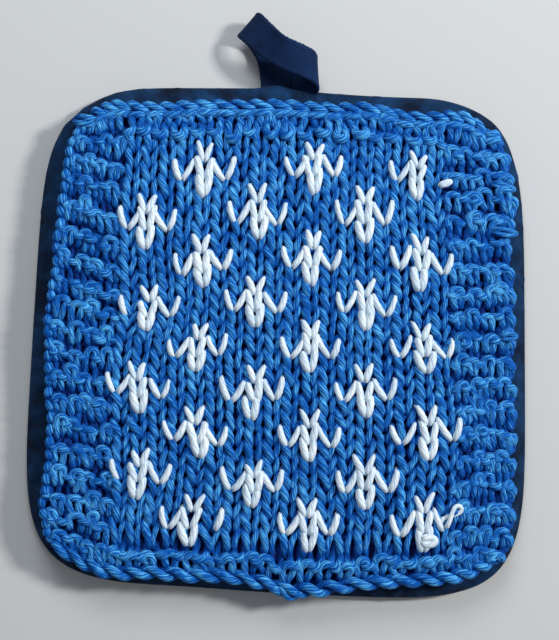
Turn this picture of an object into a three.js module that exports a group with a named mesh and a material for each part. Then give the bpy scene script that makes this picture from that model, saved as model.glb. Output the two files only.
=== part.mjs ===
// A padded potholder with a knitted front, lying on its back.
// Millimetres. X runs to the right, Y runs up towards the hanging loop, and Z runs up through the thickness.
// The origin is the middle of the pad's flat underside.
import * as THREE from 'three';
import { mergeVertices } from 'three/addons/utils/BufferGeometryUtils.js';

// Plan of the pad: a squared-off oval (a superellipse), a little wider at the front and a little askew.
const padHalfWidth = 88.3;
const padHalfLength = 90;
const padSquareness = 5.5;
const frontFlare = 0.0002;
const handSewnSkew = 0.018;

// Section of the pad, from the seam at its widest line.
const seamHeight = 4;
const rimRise = 4.5;
const rimDepth = 7;
const crownRise = 2.6;
const crownRoundness = 2.2;
const undersideRounding = 6;

// Gentle swells of the filling, as waves that fade in from the rim: height, and the spacing of their crests
// across and along the pad.
const fillingSwells = [
  { height: 0.2, acrossEvery: 170, alongEvery: 210, shift: 0.03 },
  { height: 0.2, acrossEvery: 170, alongEvery: -210, shift: 0.16 },
  { height: 0.2, acrossEvery: 120, alongEvery: -145, shift: -0.25 },
];
const swellFadesFrom = 2;
const swellFadesTo = 26;

// The knitted panel, sewn on top of the pad.
const panelReach = { right: 84, left: 82.5, back: 86, front: 87 };
const panelSquareness = 7;
const panelThickness = 4.2;
const panelEdgeThickness = 2.4;
const panelEdgeRounding = 4;
const panelLift = 0.4;
const panelBridge = 2.5;

// Where the panel's edge swells out (push above 0) or is drawn in, along each side.
const panelEdgeWaver = [
  { side: 'front', along: 10, reach: 14, push: 3.2 },
  { side: 'front', along: 56, reach: 16, push: -2.4 },
  { side: 'back', along: 48, reach: 9, push: -2.2 },
  { side: 'back', along: -58, reach: 22, push: -1.4 },
  { side: 'left', along: 58, reach: 22, push: -1.6 },
  { side: 'left', along: -60, reach: 7, push: 1.2 },
  { side: 'right', along: 35, reach: 10, push: -1.4 },
  { side: 'right', along: 50, reach: 6, push: 1.2 },
];
const sideDirections = { right: [1, 0], left: [-1, 0], back: [0, 1], front: [0, -1] };
const sideBlendFrom = 0.8;
const sideBlendTo = 0.95;

// The hanging loop, one length of folded cotton tape with both ends sewn to the pad's back edge.
const tapeThickness = 1.2;
const tapeStretches = 52;
const tapeStrips = 3;

// The tape's way round the loop: its middle (out is the distance beyond the pad's back edge), the way its
// width points, and that width. Both ends meet the seam with a gap of 0.3 to 0.5.
const tapeRoute = [
  { place: 'left end', x: -3.3, out: 0.5, z: 4.4, across: [1, -0.02, 0], width: 11.5 },
  { place: 'leaving the edge', x: -3.4, out: 4.5, z: 3.2, across: [1, 0.04, 0], width: 11.5 },
  { place: 'under leg', x: -5.2, out: 13, z: 2.2, across: [0.97, 0.24, 0], width: 11.5 },
  { place: 'under leg, far', x: -9, out: 20, z: 2.6, across: [0.8, 0.6, 0.04], width: 11.5 },
  { place: 'far bend, below', x: -13, out: 23.4, z: 4.8, across: [0.68, 0.73, 0.1], width: 11.5 },
  { place: 'far bend', x: -14.4, out: 24, z: 8, across: [0.65, 0.73, 0.2], width: 11.5 },
  { place: 'far bend, above', x: -12.9, out: 22.2, z: 11.3, across: [0.62, 0.75, 0.25], width: 11.5 },
  { place: 'top leg, far', x: -8.4, out: 17.2, z: 13.2, across: [0.5, 0.8, 0.32], width: 11.5 },
  { place: 'top leg', x: -0.6, out: 11.4, z: 13.6, across: [0.1, 0.92, 0.38], width: 11.5 },
  { place: 'top leg, near', x: 6.9, out: 8.7, z: 13.3, across: [0, 0.9, 0.43], width: 11.5 },
  { place: 'near bend', x: 9.9, out: 8, z: 11, across: [0.05, 0.89, 0.45], width: 11 },
  { place: 'near bend, below', x: 9.9, out: 9, z: 7.2, across: [0.72, 0.69, 0.1], width: 10 },
  { place: 'near leg', x: 7.9, out: 6, z: 4.7, across: [1, 0.05, -0.05], width: 11 },
  { place: 'right end', x: 8.3, out: 0.3, z: 4.4, across: [1, -0.02, 0], width: 11 },
];

// How finely the cloth is faceted: the insets of each ring from the edge, and the sides of a ring.
const sidesAround = 90;
const padTopInsets = [0, 0.8, 2, 4, 7, 12, 20, 32, 46, 62];
const padUndersideInsets = [6, 4, 2, 0.8];
const panelInsets = [0, 1, 2.5, 4.5, 8, 14, 24, 40, 60];

const navyCotton = new THREE.MeshStandardMaterial({ color: 0x17233f, roughness: 0.85, metalness: 0 });
const navyTape = new THREE.MeshStandardMaterial({ color: 0x141f3b, roughness: 0.8, metalness: 0 });
const blueYarn = new THREE.MeshStandardMaterial({ color: 0x2a7cc6, roughness: 0.75, metalness: 0 });

// Distance from the middle to a squared-off oval's edge, in the direction of an angle.
function ovalRadius(angle, halfWidth, halfLength, squareness) {
  const acrossShare = Math.abs(Math.cos(angle)) / halfWidth;
  const alongShare = Math.abs(Math.sin(angle)) / halfLength;
  return (acrossShare ** squareness + alongShare ** squareness) ** (-1 / squareness);
}

// How far in from the pad's edge a point of the even plan lies; below 0 it is outside.
function insetFromPadEdge(x, y) {
  return ovalRadius(Math.atan2(y, x), padHalfWidth, padHalfLength, padSquareness) - Math.hypot(x, y);
}

// A point of the even plan where it was really sewn: flared towards the front, and askew.
function asSewn(x, y, z) {
  return new THREE.Vector3(x * (1 - frontFlare * y), y - handSewnSkew * x, z);
}

// A quarter-round rise, from 0 at the edge to 1 at the depth of the rounding.
function quarterRound(inset, depth) {
  const left = 1 - THREE.MathUtils.clamp(inset / depth, 0, 1);
  return Math.sqrt(1 - left * left);
}

// The crown of the filling, with its swells.
function crownHeight(x, y, inset) {
  const crown = 1 - (1 - THREE.MathUtils.clamp(inset / padHalfWidth, 0, 1)) ** crownRoundness;
  let swell = 0;
  for (const wave of fillingSwells) {
    swell += wave.height * Math.cos(2 * Math.PI * (x / wave.acrossEvery + y / wave.alongEvery + wave.shift));
  }
  return crownRise * crown + swell * THREE.MathUtils.smoothstep(inset, swellFadesFrom, swellFadesTo);
}

function padTopHeight(x, y) {
  const inset = insetFromPadEdge(x, y);
  return seamHeight + rimRise * quarterRound(inset, rimDepth) + crownHeight(x, y, inset);
}

// The panel lies on the pad and runs straight on over the steep part of the rounded rim.
function panelUndersideHeight(x, y) {
  const inset = insetFromPadEdge(x, y);
  const held = Math.max(inset, panelBridge);
  const left = 1 - panelBridge / rimDepth;
  const slope = rimRise / rimDepth * left / Math.sqrt(1 - left * left);
  const rim = rimRise * quarterRound(held, rimDepth) - slope * (held - inset);
  return seamHeight + rim + crownHeight(x, y, inset) + panelLift;
}

function panelTopHeight(x, y, inset) {
  const fullRise = panelThickness - panelEdgeThickness;
  return panelUndersideHeight(x, y) + panelEdgeThickness + fullRise * quarterRound(inset, panelEdgeRounding);
}

// A point on the panel's edge, with its waver.
function panelEdgePoint(angle) {
  const halfWidth = Math.cos(angle) > 0 ? panelReach.right : panelReach.left;
  const halfLength = Math.sin(angle) > 0 ? panelReach.back : panelReach.front;
  const radius = ovalRadius(angle, halfWidth, halfLength, panelSquareness);
  const even = new THREE.Vector2(Math.cos(angle), Math.sin(angle)).multiplyScalar(radius);
  const edge = even.clone();
  for (const waver of panelEdgeWaver) {
    const outward = new THREE.Vector2(...sideDirections[waver.side]);
    const along = Math.abs(outward.x) > 0 ? even.y : even.x;
    const reachShare = even.dot(outward) / panelReach[waver.side];
    const onThisSide = THREE.MathUtils.smoothstep(reachShare, sideBlendFrom, sideBlendTo);
    const share = Math.exp(-(((along - waver.along) / waver.reach) ** 2));
    edge.addScaledVector(outward, waver.push * share * onThisSide);
  }
  return edge;
}

// One ring of points, a given way in from an edge.
function ring(edgePoint, inset, heightAt) {
  const points = [];
  for (let side = 0; side < sidesAround; side += 1) {
    const edge = edgePoint(side / sidesAround * 2 * Math.PI);
    const point = edge.clone().setLength(edge.length() - inset);
    points.push(asSewn(point.x, point.y, heightAt(point.x, point.y)));
  }
  return points;
}

// A closed solid lofted through rings, from the middle of its underside to the middle of its top.
function loftedSolid(underMiddle, rings, topMiddle) {
  const points = [underMiddle, ...rings.flat(), topMiddle];
  const faces = [];
  const last = 1 + (rings.length - 1) * sidesAround;
  for (let side = 0; side < sidesAround; side += 1) {
    const next = (side + 1) % sidesAround;
    faces.push(0, 1 + next, 1 + side);
    for (let lower = 1; lower < last; lower += sidesAround) {
      const upper = lower + sidesAround;
      faces.push(lower + side, lower + next, upper + next);
      faces.push(lower + side, upper + next, upper + side);
    }
    faces.push(last + side, last + next, points.length - 1);
  }
  const geometry = new THREE.BufferGeometry().setFromPoints(points);
  geometry.setIndex(faces);
  geometry.computeVertexNormals();
  return geometry;
}

function padGeometry() {
  const edgePoint = (angle) => {
    const radius = ovalRadius(angle, padHalfWidth, padHalfLength, padSquareness);
    return new THREE.Vector2(Math.cos(angle), Math.sin(angle)).multiplyScalar(radius);
  };
  const underside = padUndersideInsets.map((inset) => {
    const height = seamHeight * (1 - quarterRound(inset, undersideRounding));
    return ring(edgePoint, inset, () => height);
  });
  const top = padTopInsets.map((inset) => ring(edgePoint, inset, padTopHeight));
  return loftedSolid(asSewn(0, 0, 0), [...underside, ...top], asSewn(0, 0, padTopHeight(0, 0)));
}

function panelGeometry() {
  const underside = panelInsets.map((inset) => ring(panelEdgePoint, inset, panelUndersideHeight)).reverse();
  const top = panelInsets.map((inset) => {
    return ring(panelEdgePoint, inset, (x, y) => panelTopHeight(x, y, inset));
  });
  const underMiddle = asSewn(0, 0, panelUndersideHeight(0, 0));
  const topMiddle = asSewn(0, 0, panelTopHeight(0, 0, panelReach.right));
  return loftedSolid(underMiddle, [...underside, ...top], topMiddle);
}

// The tape is a flat bar, bent so that each cross-section follows the route.
function loopGeometry() {
  const rowPoints = tapeRoute.map((row) => new THREE.Vector3(row.x, padHalfLength + row.out, row.z));
  const rowAcross = tapeRoute.map((row) => new THREE.Vector3(...row.across).multiplyScalar(row.width / 2));
  const middle = new THREE.CatmullRomCurve3(rowPoints, false, 'centripetal');
  const across = new THREE.CatmullRomCurve3(rowAcross, false, 'centripetal');
  const bar = new THREE.BoxGeometry(2, tapeThickness, 1, tapeStrips, 1, tapeStretches);
  bar.deleteAttribute('normal');
  bar.deleteAttribute('uv');
  const geometry = mergeVertices(bar);
  const points = geometry.attributes.position;
  for (let index = 0; index < points.count; index += 1) {
    const travel = THREE.MathUtils.clamp(points.getZ(index) + 0.5, 0, 1);
    const halfAcross = across.getPoint(travel);
    const outward = new THREE.Vector3().crossVectors(middle.getTangent(travel), halfAcross).normalize();
    const point = middle.getPoint(travel);
    point.addScaledVector(halfAcross, points.getX(index));
    point.addScaledVector(outward, points.getY(index));
    points.setXYZ(index, point.x, point.y, point.z);
  }
  geometry.computeVertexNormals();
  return geometry;
}

function namedMesh(name, geometry, material) {
  const mesh = new THREE.Mesh(geometry, material);
  mesh.name = name;
  return mesh;
}

const potholder = new THREE.Group();
potholder.add(namedMesh('pad', padGeometry(), navyCotton));
potholder.add(namedMesh('knit_panel', panelGeometry(), blueYarn));
potholder.add(namedMesh('hanging_loop', loopGeometry(), navyTape));

export default potholder;
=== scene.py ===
import math

import bpy
import numpy as np
from mathutils import Matrix, Vector


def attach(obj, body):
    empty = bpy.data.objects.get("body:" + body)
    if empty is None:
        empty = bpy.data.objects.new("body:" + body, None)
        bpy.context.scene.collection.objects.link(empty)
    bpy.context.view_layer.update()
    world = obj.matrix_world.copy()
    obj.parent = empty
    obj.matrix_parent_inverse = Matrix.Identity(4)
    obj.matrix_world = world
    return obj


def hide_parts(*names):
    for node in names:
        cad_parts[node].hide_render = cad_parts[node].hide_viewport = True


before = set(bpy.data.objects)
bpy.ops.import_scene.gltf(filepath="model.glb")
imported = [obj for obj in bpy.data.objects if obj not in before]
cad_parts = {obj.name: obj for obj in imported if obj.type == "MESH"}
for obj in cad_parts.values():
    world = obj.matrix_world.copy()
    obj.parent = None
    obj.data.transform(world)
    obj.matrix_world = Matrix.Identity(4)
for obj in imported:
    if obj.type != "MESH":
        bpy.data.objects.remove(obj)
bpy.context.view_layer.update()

mm = 0.001

# --- The pad: plan and section, as it is cut and sewn ---

pad_half_width = 88.3
pad_half_length = 90
pad_squareness = 5.5
front_flare = 0.0002
hand_sewn_skew = 0.018
seam_height = 4
rim_rise = 4.5
rim_depth = 7
crown_rise = 2.6
crown_roundness = 2.2
underside_rounding = 6
filling_swells = [
    # height, spacing of the crests across and along, shift
    (0.2, 170, 210, 0.03),
    (0.2, 170, -210, 0.16),
    (0.2, 120, -145, -0.25),
]
# The swells begin this far in from the seam, and are full that far in.
swell_fades = (2, 26)

# --- The knitted panel: how far it reaches from the middle, and where its edge wavers ---

reach_right, reach_left = 84, 82.5
reach_back, reach_front = 86, 87
panel_squareness = 7
panel_lift = 0.4
panel_bridge = 2.5
edge_waver = [
    # side, place along it, half length of the stretch, push outwards
    ("front", 10, 14, 3.2),
    ("front", 56, 16, -1.6),
    ("front", 75, 9, -2.4),
    ("front", -53, 8, 0.8),
    ("front", -73, 6, -1.4),
    ("back", 48, 9, -2.2),
    ("back", -58, 22, -1.4),
    ("back", -44, 13, -2.0),
    ("back", -14, 20, -0.7),
    ("back", 74, 8, 0.6),
    ("left", 58, 22, -1.6),
    ("left", 4, 9, 1.0),
    ("left", -35, 9, -1.1),
    ("left", -50, 8, 0.4),
    ("left", -61, 5, 1.6),
    ("left", -74, 9, 1.8),
    ("right", 35, 10, -1.4),
    ("right", 50, 6, 1.2),
    ("right", -50, 20, -1.5),
]
# Shares of the way from the middle to the edge where a waver begins, and where it is full.
waver_starts, waver_full = 0.8, 0.95
pad_waver = [
    # side, place along it, half length of the stretch, push outwards
    ("back", -6, 20, 0.9),
    ("back", -3, 5, 1.7),
    ("back", 60, 15, 1.6),
    ("back", 79, 9, 1.7),
    ("back", -76, 10, -1.6),
    ("front", -33, 24, -0.8),
]
# How far in from the seam a waver of the pad reaches.
pad_waver_depth = 16
# The stuffed rim stands out beyond the line of the seam.
rim_fullness = 1.1

# --- The knitting: a stockinette field with garter borders all round ---

field_stitches = 18
field_stitch_width = 6.5
field_middle = 1.0
field_row_height = 5.14
bottom_row_place = -79.8
first_field_row, last_field_row = 2, 29
# The top border's purled row and the knitted row above it stand off a little from the field.
top_border_places = (73.9, 77.6)

# The side borders are worked with extra short rows, so that they lie flat beside the field.
side_stitches = 4
side_rows = 37
side_row_height = 4.36
side_slope = {"left": 0.1, "right": 0.07}

# A hand knitter's tension changes from place to place, so rows sag and columns lean.
sways = [
    # across, along, reach across, reach along, shift across, shift along
    (-50, 28, 25, 30, 0.0, -5.4),
    (-38, -14, 20, 24, 0.0, -1.1),
    (-10, -40, 12, 25, 0.6, -1.8),
    (70, -35, 30, 45, 0.0, 4.0),
    (18, 60, 30, 20, 1.3, 2.0),
    (42, 52, 22, 18, -1.6, 1.2),
    (-44, 12, 22, 15, 2.4, 0.0),
    (58, -35, 16, 40, 3.2, 0.0),
    (4, -5, 18, 25, 1.2, 0.0),
    (-38, -66, 16, 14, -1.6, 0.0),
]
sway_fades_across, sway_fades_along = (60, 82), (68, 84)
column_wander = [
    # shift, distance along over which it turns by a radian, phase
    (0.7, 31, 3.9),
    (0.35, 12, 5.6),
]

top_star_row = 27
star_rows = 9
stars_every_rows = 3
stars_every_stitches = 6
stars_in_row = 3
# The middle stitch of a row's first star, in even and in odd rows of stars.
first_star_stitches = (4, 1)

yarn_radius = 1.2
# The grooves between plies, as a share of the radius.
ply_depth = 0.09
yarn_lumps = 0.1
ply_turn = 15.0
steps_in_stitch = 18
# How high the middle of the yarn lies over the panel's underside.
yarn_middle_lift = 2.4


def smoothstep(value, low, high):
    share = np.clip((value - low) / (high - low), 0, 1)
    return share * share * (3 - 2 * share)


def raised_between(share, full_from, full_to):
    """Rises from 0 at a line's start, is 1 between two shares of it, and falls to 0 at its end."""
    return smoothstep(share, 0, full_from) * (1 - smoothstep(share, full_to, 1.0))


def travel_along(points):
    """The distance travelled along a line at each of its points."""
    return np.concatenate([[0], np.cumsum(np.linalg.norm(np.diff(points, axis=0), axis=1))])


def oval_radius(angle, half_width, half_length, squareness):
    across = np.abs(np.cos(angle)) / half_width
    along = np.abs(np.sin(angle)) / half_length
    return (across**squareness + along**squareness) ** (-1 / squareness)


def inset_from_pad_edge(x, y):
    return oval_radius(np.arctan2(y, x), pad_half_width, pad_half_length, pad_squareness) - np.hypot(x, y)


def sewn_inset(points):
    """How far in from the seam points lie, once the skew they were sewn with is taken out."""
    return inset_from_pad_edge(points[:, 0], points[:, 1] + hand_sewn_skew * points[:, 0])


def as_sewn(x, y, z):
    """Points of the even plan where they were really sewn: flared towards the front, and askew."""
    return np.stack([x * (1 - front_flare * y), y - hand_sewn_skew * x, z], axis=-1)


def quarter_round(inset, depth):
    left = 1 - np.clip(inset / depth, 0, 1)
    return np.sqrt(1 - left * left)


def crown_height(x, y, inset):
    crown = 1 - (1 - np.clip(inset / pad_half_width, 0, 1)) ** crown_roundness
    swell = 0
    for height, across_every, along_every, shift in filling_swells:
        swell = swell + height * np.cos(2 * np.pi * (x / across_every + y / along_every + shift))
    return crown_rise * crown + swell * smoothstep(inset, *swell_fades)


def pad_top_height(x, y):
    inset = inset_from_pad_edge(x, y)
    return seam_height + rim_rise * quarter_round(inset, rim_depth) + crown_height(x, y, inset)


def panel_underside_height(x, y):
    """The panel lies on the pad and runs straight on over the steep part of the rounded rim."""
    inset = inset_from_pad_edge(x, y)
    held = np.maximum(inset, panel_bridge)
    left = 1 - panel_bridge / rim_depth
    slope = rim_rise / rim_depth * left / math.sqrt(1 - left * left)
    rim = rim_rise * quarter_round(held, rim_depth) - slope * (held - inset)
    return seam_height + rim + crown_height(x, y, inset) + panel_lift


def panel_surface(across, along):
    """Where a point of the panel, measured on its even grid of stitches, lies on top of the pad."""
    across_share = across / np.where(across > 0, reach_right, reach_left)
    along_share = along / np.where(along > 0, reach_back, reach_front)
    outer = np.maximum(np.abs(across_share), np.abs(along_share))
    inner = np.minimum(np.abs(across_share), np.abs(along_share))
    slant = inner / np.maximum(outer, 1e-6)
    corner = (1 + slant**panel_squareness) ** (-1 / panel_squareness)
    pull = 1 - (1 - corner) * outer**4
    x, y = across * pull, along * pull
    push_x, push_y = np.zeros_like(x), np.zeros_like(y)
    share_towards = {
        "right": across_share, "left": -across_share, "back": along_share, "front": -along_share,
    }
    for side, place, half_length, push in edge_waver:
        beside = x if side in ("front", "back") else y
        near = np.exp(-(((beside - place) / half_length) ** 2))
        amount = push * near * smoothstep(share_towards[side], waver_starts, waver_full)
        if side in ("left", "right"):
            push_x += amount if side == "right" else -amount
        else:
            push_y += amount if side == "back" else -amount
    x, y = x + push_x, y + push_y
    return as_sewn(x, y, panel_underside_height(x, y))


def on_panel(across, along, lift):
    """The same, raised above the panel's underside along the normal of its surface."""
    reach = 0.5
    here = panel_surface(across, along)
    tangent_across = panel_surface(across + reach, along) - panel_surface(across - reach, along)
    tangent_along = panel_surface(across, along + reach) - panel_surface(across, along - reach)
    normal = np.cross(tangent_across, tangent_along)
    normal /= np.linalg.norm(normal, axis=-1, keepdims=True)
    return here + normal * lift[..., None]


# --- Helpers for nodes, colours and meshes ---


def add_node(tree, kind, settings=None, inputs=None):
    """Adds a node with its settings, and its inputs as values or as the sockets that feed them."""
    node = tree.nodes.new(kind)
    for name, value in (settings or {}).items():
        setattr(node, name, value)
    for socket, value in (inputs or {}).items():
        if isinstance(value, bpy.types.NodeSocket):
            tree.links.new(value, node.inputs[socket])
        else:
            node.inputs[socket].default_value = value
    return node


def linear(hex_colour):
    """An sRGB hex colour as linear RGBA."""
    channels = [int(hex_colour[start:start + 2], 16) / 255 for start in (1, 3, 5)]
    return [c / 12.92 if c <= 0.04045 else ((c + 0.055) / 1.055) ** 2.4 for c in channels] + [1.0]


def add_object(name, data):
    """A new object in the scene, for a mesh, a lamp or a camera."""
    made = bpy.data.objects.new(name, data)
    bpy.context.scene.collection.objects.link(made)
    return made


def mesh_piece(name, points, faces, material, edges=()):
    """A piece from points in millimetres."""
    mesh = bpy.data.meshes.new(name)
    mesh.from_pydata((np.asarray(points) * mm).tolist(), list(edges), faces)
    mesh.update()
    piece = add_object(name, mesh)
    if material is not None:
        mesh.materials.append(material)
    for polygon in mesh.polygons:
        polygon.use_smooth = True
    return piece


def read_points(mesh):
    """A mesh's points in millimetres."""
    points = np.zeros(len(mesh.vertices) * 3)
    mesh.vertices.foreach_get("co", points)
    return points.reshape(-1, 3) / mm


def write_points(mesh, points):
    mesh.vertices.foreach_set("co", (points * mm).ravel())
    mesh.update()


def apply_modifiers(piece):
    """Turns a piece into the plain mesh that its modifiers make."""
    evaluated = piece.evaluated_get(bpy.context.evaluated_depsgraph_get())
    finished = bpy.data.meshes.new_from_object(evaluated)
    raw = piece.data
    piece.modifiers.clear()
    piece.data = finished
    bpy.data.meshes.remove(raw)
    return piece


# --- Materials ---


def empty_material(name):
    """A material with no nodes yet, and its node tree."""
    material = bpy.data.materials.new(name)
    material.use_nodes = True
    material.node_tree.nodes.clear()
    return material, material.node_tree


def yarn_material(name, crest, painted_shade, painted_highlight, streak_strength, deep_shade):
    """Soft plied cotton yarn, spun and twisted: matt, with a painted highlight along the crest of each strand
    and painted shade in the grooves between them.
    """
    material, tree = empty_material(name)
    crest_place = add_node(tree, "ShaderNodeAttribute", {"attribute_name": "ply_crest"})
    share = add_node(
        tree, "ShaderNodeMapRange", None,
        {
            "Value": crest_place.outputs["Fac"], "From Min": 0.0, "From Max": 1.0,
            "To Min": 0.49, "To Max": 0.77,
        },
    )
    around = add_node(tree, "ShaderNodeAttribute", {"attribute_name": "ply_place"})
    along = add_node(tree, "ShaderNodeAttribute", {"attribute_name": "yarn_along"})
    # Fibres are about 0.02 mm thick, drawn as streaks of 0.4 mm that run 3 mm along the yarn. The streaks are
    # fibre texture, and also painted highlight and painted shade: they lift the colour towards the painted
    # highlight and sink it towards the painted shade.
    streaks_per_metre, streaks_per_radius = 330.0, (3.0, 3.0, 3.0)
    drawn_along = add_node(
        tree, "ShaderNodeMath", {"operation": "MULTIPLY"},
        {0: along.outputs["Fac"], 1: streaks_per_metre},
    )
    streak_place = add_node(tree, "ShaderNodeCombineXYZ", None, {"Z": drawn_along.outputs[0]})
    round_place = add_node(
        tree, "ShaderNodeVectorMath", {"operation": "MULTIPLY_ADD"},
        {0: around.outputs["Vector"], 1: streaks_per_radius, 2: streak_place.outputs[0]},
    )
    streaks = add_node(
        tree, "ShaderNodeTexNoise", None,
        {"Vector": round_place.outputs[0], "Scale": 1.0, "Detail": 2.0, "Roughness": 0.6},
    )
    # Uneven dye: soft patches about 7 mm across.
    place = add_node(tree, "ShaderNodeTexCoord")
    patches = add_node(
        tree, "ShaderNodeTexNoise", None,
        {"Vector": place.outputs["Object"], "Scale": 140.0, "Detail": 2.0},
    )
    # Little light gets down between the loops, so yarn that lies deep in the cloth is drawn darker.
    in_front = add_node(tree, "ShaderNodeAttribute", {"attribute_name": "in_front"})
    for source, low, high, darkest, lightest in (
        (streaks, 0.3, 0.7, -streak_strength, streak_strength),
        (patches, 0.3, 0.7, -0.12, 0.12),
        (in_front, 0.0, 1.0, -deep_shade, 0.0),
    ):
        lift = add_node(
            tree, "ShaderNodeMapRange", None,
            {
                "Value": source.outputs["Fac"], "From Min": low, "From Max": high,
                "To Min": darkest, "To Max": lightest,
            },
        )
        share = add_node(
            tree, "ShaderNodeMath", {"operation": "ADD", "use_clamp": source is in_front},
            {0: share.outputs[0], 1: lift.outputs[0]},
        )
    # The colour runs from painted shade, in the grooves and deep in the cloth, through the yarn's own colour
    # to a painted highlight on the crests of the strands.
    colour = add_node(tree, "ShaderNodeValToRGB", None, {"Fac": share.outputs[0]})
    colour.color_ramp.elements[0].color = linear(painted_shade)
    colour.color_ramp.elements[1].color = linear(painted_highlight)
    middle = colour.color_ramp.elements.new(0.62)
    middle.color = linear(crest)
    bump = add_node(
        tree, "ShaderNodeBump", None,
        {"Height": streaks.outputs["Fac"], "Strength": 0.4, "Distance": 0.25 * mm},
    )
    finish = add_node(
        tree, "ShaderNodeBsdfPrincipled", None,
        {
            "Base Color": colour.outputs["Color"], "Roughness": 0.7, "IOR": 1.5, "Normal": bump.outputs[0],
            "Sheen Weight": 0.02, "Sheen Roughness": 0.4, "Specular IOR Level": 0.08,
        },
    )
    add_node(tree, "ShaderNodeOutputMaterial", None, {"Surface": finish.outputs[0]})
    return material


def woven_material(name, cloth, thread_gap, worn, thread_spacing, roughness, sheen, patch_scale=60.0):
    """Plain-woven cotton: matt, crossed by fine threads over and under each other."""
    material, tree = empty_material(name)
    place = add_node(tree, "ShaderNodeTexCoord")
    # A wave repeats every pi/10 of its scaled length.
    wave_scale = math.pi / 10 / (thread_spacing * mm)
    threads = []
    for direction in ("X", "Y"):
        threads.append(add_node(
            tree, "ShaderNodeTexWave", {"wave_type": "BANDS", "bands_direction": direction},
            {"Vector": place.outputs["UV"], "Scale": wave_scale, "Distortion": 0.6, "Detail": 1.0},
        ))
    weave = add_node(
        tree, "ShaderNodeMath", {"operation": "MULTIPLY"},
        {0: threads[0].outputs["Fac"], 1: threads[1].outputs["Fac"]},
    )
    patches = add_node(
        tree, "ShaderNodeTexNoise", None,
        {"Vector": place.outputs["Object"], "Scale": patch_scale, "Detail": 5.0, "Roughness": 0.6},
    )
    gaps = add_node(
        tree, "ShaderNodeMix", {"data_type": "RGBA"},
        {"Factor": weave.outputs[0], "A": linear(thread_gap), "B": linear(cloth)},
    )
    wear = add_node(
        tree, "ShaderNodeMapRange", None,
        {"Value": patches.outputs["Fac"], "From Min": 0.35, "From Max": 0.7, "To Min": 0.0, "To Max": 0.7},
    )
    colour = add_node(
        tree, "ShaderNodeMix", {"data_type": "RGBA"},
        {"Factor": wear.outputs[0], "A": gaps.outputs["Result"], "B": linear(worn)},
    )
    relief = add_node(
        tree, "ShaderNodeMath", {"operation": "ADD"}, {0: weave.outputs[0], 1: patches.outputs["Fac"]}
    )
    bump = add_node(
        tree, "ShaderNodeBump", None, {"Height": relief.outputs[0], "Strength": 0.5, "Distance": 0.15 * mm}
    )
    finish = add_node(
        tree, "ShaderNodeBsdfPrincipled", None,
        {
            "Base Color": colour.outputs["Result"], "Roughness": roughness, "IOR": 1.5,
            "Normal": bump.outputs[0], "Sheen Weight": sheen, "Sheen Roughness": 0.5,
            "Specular IOR Level": 0.15,
        },
    )
    add_node(tree, "ShaderNodeOutputMaterial", None, {"Surface": finish.outputs[0]})
    return material


# Each yarn: its own colour, its painted shade, its painted highlight, how strongly its fibre streaks paint
# highlight and shade, and how much painted shade it gets deep in the cloth.
blue_cotton_yarn = yarn_material("blue_cotton_yarn", "#0858b0", "#02185e", "#5ebcf0", 0.26, 0.6)
white_cotton_yarn = yarn_material("white_cotton_yarn", "#cadeec", "#7698c4", "#f6faff", 0.3, 0.3)
navy_cotton = woven_material("navy_woven_cotton", "#06203e", "#030e21", "#123f6c", 0.8, 0.9, 0.02, 110.0)
navy_tape = woven_material("navy_cotton_tape", "#09224a", "#061836", "#10325e", 0.7, 0.85, 0.03, 90.0)
# The backs of the stitches: a dark navy that is painted shade, seen in the gaps between the loops.
shaded_yarn_backs = woven_material("shaded_yarn_backs", "#051657", "#020b3c", "#08206c", 2.4, 0.9, 0.0)


# --- Yarn: a plied cord that follows a path ---


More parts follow.
